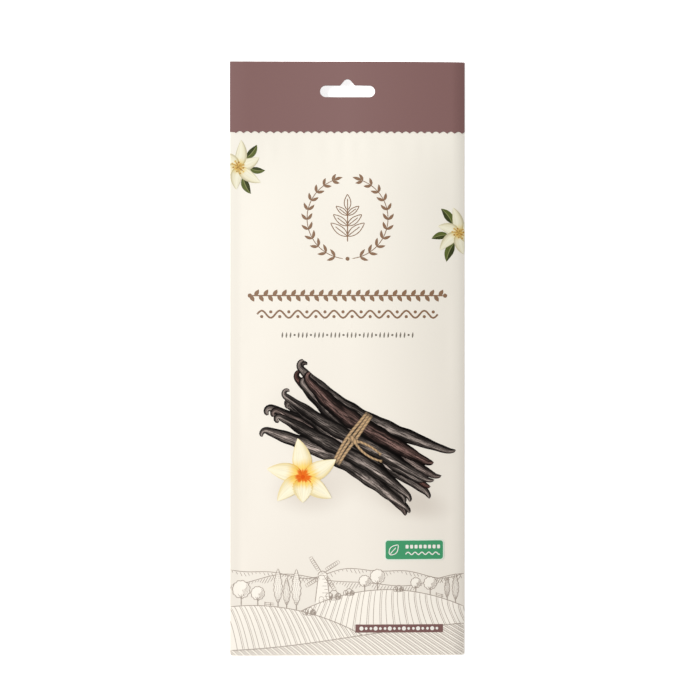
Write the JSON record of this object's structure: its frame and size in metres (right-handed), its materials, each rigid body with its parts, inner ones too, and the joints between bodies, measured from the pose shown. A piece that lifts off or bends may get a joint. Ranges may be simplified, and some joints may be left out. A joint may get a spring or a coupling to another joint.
{
  "type": "hanging food pouch",
  "caption": "Flat sealed film pouch of dried vanilla pods, softly bulging, with a folded header strip that has a pinked lower edge and a hang hole.",
  "frame": {"origin": "under the middle of the pack's outline, on the surface that it lies on", "axes": "+X across the pack, +Y along it towards the header strip, +Z out of the printed front, which lies upwards"},
  "size_m": [0.0896, 0.2266, 0.0092],
  "materials": {
    "film": "cream printed film with a smooth satin-matte laminate",
    "strip": "brown printed strip with the same satin-matte laminate",
    "print": "printing ink on the film, flat under the laminate"
  },
  "bodies": {
    "root": {"pouch": "film", "header_strip": "strip"}
  },
  "joints": []
}
